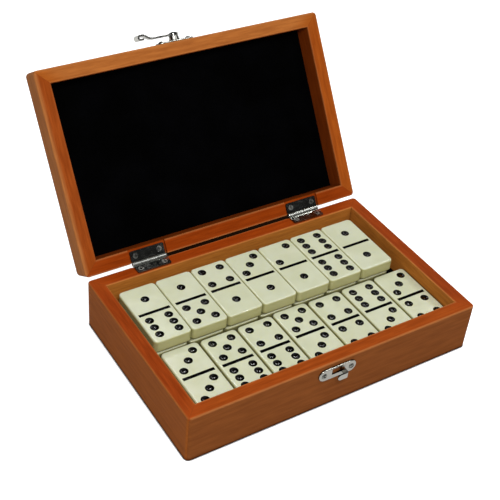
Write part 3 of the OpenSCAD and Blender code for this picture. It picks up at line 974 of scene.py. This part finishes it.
@dataclass
class Studio:
    """Camera, lamps, floor and white surroundings.

    The patch of floor behind the box is dark in a band of its own, because the open lid
    leans over it. A shade is given by the middle of its band and the distances from there
    at which it is full and gone.
    """

    lens_mm: float = 75.78
    sensor_mm: float = 36.0
    place: Place = (-292.25, -376.82, 440.29)
    azimuth: float = -0.61392
    elevation: float = 0.66927
    roll: float = 0.09787
    aim: Place = (0.0, 20.0, 40.0)
    lamps: tuple[Softbox, ...] = (
        Softbox("softbox", (-330.0, -600.0, 860.0), 300.0, 8.8),
        Softbox("glint_front", (500.0, -520.0, 830.0), 160.0, 1.2),
        Softbox("glint_back", (150.0, 560.0, 760.0), 140.0, 1.3),
        Softbox("glint_right", (580.0, 310.0, 700.0), 140.0, 1.3),
    )
    # What mirrors see: white up to the horizon, grey card above it, and one white card.
    sky_level: float = 0.35
    card: str = "#202020"
    horizon: Span = (0.1, 0.2)
    white_card_front: Span = (0.05, 0.15)
    white_card_high: Span = (0.64, 0.58)
    # Floor: tones, size, and its level in mirrors.
    paper: str = "#BFBFBF"
    shade: str = "#2A1A10"
    floor_reach: float = 4000.0
    floor_in_mirrors: float = 0.45
    # Shades on the floor: how far each point looks round, and how much open sky it sees.
    touch_reach: float = 1.6
    touch_sky: Span = (0.5, 0.8)
    shadow_reach: float = 45.0
    shadow_sky: Span = (0.25, 0.7)
    lean_reach: float = 160.0
    lean_way: Place = (0.0, -0.6, 0.8)
    lean_sky: Span = (0.75, 0.92)
    shade_x: Place = (27.0, 50.0, 66.0)
    shade_y: Place = (101.0, 8.0, 38.0)

    def camera(self) -> None:
        """Sets the camera at the viewing angle of the photograph."""
        data = bpy.data.cameras.new("camera")
        data.lens = self.lens_mm
        data.sensor_width = self.sensor_mm
        camera = bpy.data.objects.new("camera", data)
        turn = (
            Matrix.Rotation(self.azimuth, 4, "Z")
            @ Matrix.Rotation(math.pi / 2 - self.elevation, 4, "X")
            @ Matrix.Rotation(self.roll, 4, "Z")
        )
        camera.matrix_world = Matrix.Translation(Vector(self.place) * MM) @ turn
        bpy.context.scene.collection.objects.link(camera)
        bpy.context.scene.camera = camera
        LOG.info("camera set")

    def surroundings(self) -> None:
        """Makes the world: soft grey light, and white where the camera or a mirror looks.

        Mirrors also see grey card above the white horizon, which draws their edges, and one
        white card high in front.
        """
        world = bpy.data.worlds.new("studio")
        bpy.context.scene.world = world
        world.use_nodes = True
        tree = world.node_tree
        tree.nodes.clear()
        way = put(tree, "TexCoord").outputs["Generated"]
        axes = put(tree, "SeparateXYZ", [way]).outputs
        low, high = self.horizon
        stops = [(low, WHITE), (high, self.card), (1.0, self.card)]
        grey = put(tree, "ValToRGB", [axes[2]], stops=stops).outputs[0]
        front = put(tree, "MapRange", (axes[1], *self.white_card_front, 1.0, 0.0)).outputs[0]
        above = put(tree, "MapRange", (axes[2], *self.white_card_high, 1.0, 0.0)).outputs[0]
        over = put(tree, "Math", (front, above), operation="MULTIPLY").outputs[0]
        cards = painted(tree, grey, ((over, WHITE),))
        mirrored = put(tree, "LightPath").outputs["Is Glossy Ray"]
        seen = painted(tree, linear(WHITE), ((mirrored, cards),))
        light = put(tree, "Background", (linear(WHITE), self.sky_level)).outputs[0]
        white = put(tree, "Background", (seen, 1.0)).outputs[0]
        shown = put(tree, "MixShader", (self._looked_at(tree), light, white)).outputs[0]
        put(tree, "OutputWorld", [shown])
        LOG.info("surroundings set")

    def _looked_at(self, tree: Tree) -> Socket:
        """Tells the rays of the camera, of mirrors and of clear things from those of light.

        Args:
            tree: Node tree of the world or of the floor.

        Returns:
            Socket that is 1 for rays that look and 0 for light.
        """
        rays = put(tree, "LightPath").outputs
        looked = rays["Is Camera Ray"]
        for kind in ("Is Glossy Ray", "Is Transmission Ray"):
            looked = put(tree, "Math", (looked, rays[kind]), operation="MAXIMUM").outputs[0]
        return looked

    def _deep_shade(self, tree: Tree) -> Socket:
        """Masks the patch of floor close behind the box, while the open lid leans over it.

        Args:
            tree: Node tree of the floor.

        Returns:
            Socket that is 1 in the middle of the patch.
        """
        reach = {"Distance": self.lean_reach * MM, "Normal": self.lean_way}
        sky = put(tree, "AmbientOcclusion", reach, samples=16).outputs["AO"]
        mask = put(tree, "MapRange", (sky, *self.lean_sky, 1.0, 0.0), **SMOOTH).outputs[0]
        place = put(tree, "TexCoord").outputs["Object"]
        axes = put(tree, "SeparateXYZ", [place]).outputs
        for axis, (middle, full, gone) in ((axes[0], self.shade_x), (axes[1], self.shade_y)):
            off = put(tree, "Math", (axis, middle * MM), operation="SUBTRACT").outputs[0]
            away = put(tree, "Math", [off], operation="ABSOLUTE").outputs[0]
            limits = (away, full * MM, gone * MM, 1.0, 0.0)
            band = put(tree, "MapRange", limits, **SMOOTH).outputs[0]
            mask = put(tree, "Math", (mask, band), operation="MULTIPLY").outputs[0]
        return mask

    def _paper(self) -> bpy.types.Material:
        """Makes the floor's paper, which is plain white and only keeps the shadows.

        Returns:
            The finished material.
        """
        material, tree = blank_material("floor_paper")
        touch = {"Distance": self.touch_reach * MM}
        near = put(tree, "AmbientOcclusion", touch, samples=8).outputs["AO"]
        touching = put(tree, "MapRange", (near, *self.touch_sky, 1.0, 0.0)).outputs[0]
        deep = self._deep_shade(tree)
        shade = put(tree, "Math", (deep, touching), operation="MAXIMUM").outputs[0]
        tone = painted(tree, linear(self.paper), ((shade, self.shade),))
        diffuse = put(tree, "BsdfDiffuse", [tone]).outputs[0]
        around = {"Distance": self.shadow_reach * MM}
        sky = put(tree, "AmbientOcclusion", around, samples=12).outputs["AO"]
        clear = put(tree, "MapRange", (sky, *self.shadow_sky), **SMOOTH).outputs[0]
        mirrored = put(tree, "LightPath").outputs["Is Glossy Ray"]
        levels = (mirrored, 0.0, 1.0, 1.0, self.floor_in_mirrors)
        mirror_level = put(tree, "MapRange", levels).outputs[0]
        bare = put(tree, "Math", (1.0, shade), operation="SUBTRACT").outputs[0]
        glow = self._looked_at(tree)
        for share in (mirror_level, clear, bare):
            glow = put(tree, "Math", (glow, share), operation="MULTIPLY").outputs[0]
        lit = put(tree, "Emission", (linear(WHITE), glow)).outputs[0]
        both = put(tree, "AddShader", (diffuse, lit)).outputs[0]
        put(tree, "OutputMaterial", [both])
        return material

    def floor(self) -> None:
        """Lays a pale floor that keeps a soft shadow and is plain white elsewhere."""
        mesh = bpy.data.meshes.new("floor")
        reach = self.floor_reach * MM
        corners = [(-reach, -reach, 0), (reach, -reach, 0), (reach, reach, 0), (-reach, reach, 0)]
        mesh.from_pydata(corners, [], [(0, 1, 2, 3)])
        mesh.materials.append(self._paper())
        floor = bpy.data.objects.new("floor", mesh)
        bpy.context.scene.collection.objects.link(floor)
        LOG.info("floor laid")

    def build(self) -> None:
        """Builds the whole studio."""
        self.camera()
        for lamp in self.lamps:
            lamp.hang(self.aim)
        self.surroundings()
        self.floor()
        bpy.context.scene.view_settings.view_transform = "Standard"


def main() -> None:
    """Builds the looks, piece by piece."""
    logging.basicConfig(level=logging.INFO, format="%(name)s: %(message)s")
    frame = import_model()
    nodes = frame["nodes"]
    Studio().build()
    for part in (Case(), Lid(), Hardware(), Tiles()):
        part.dress(nodes)


if __name__ == "__main__":
    main()
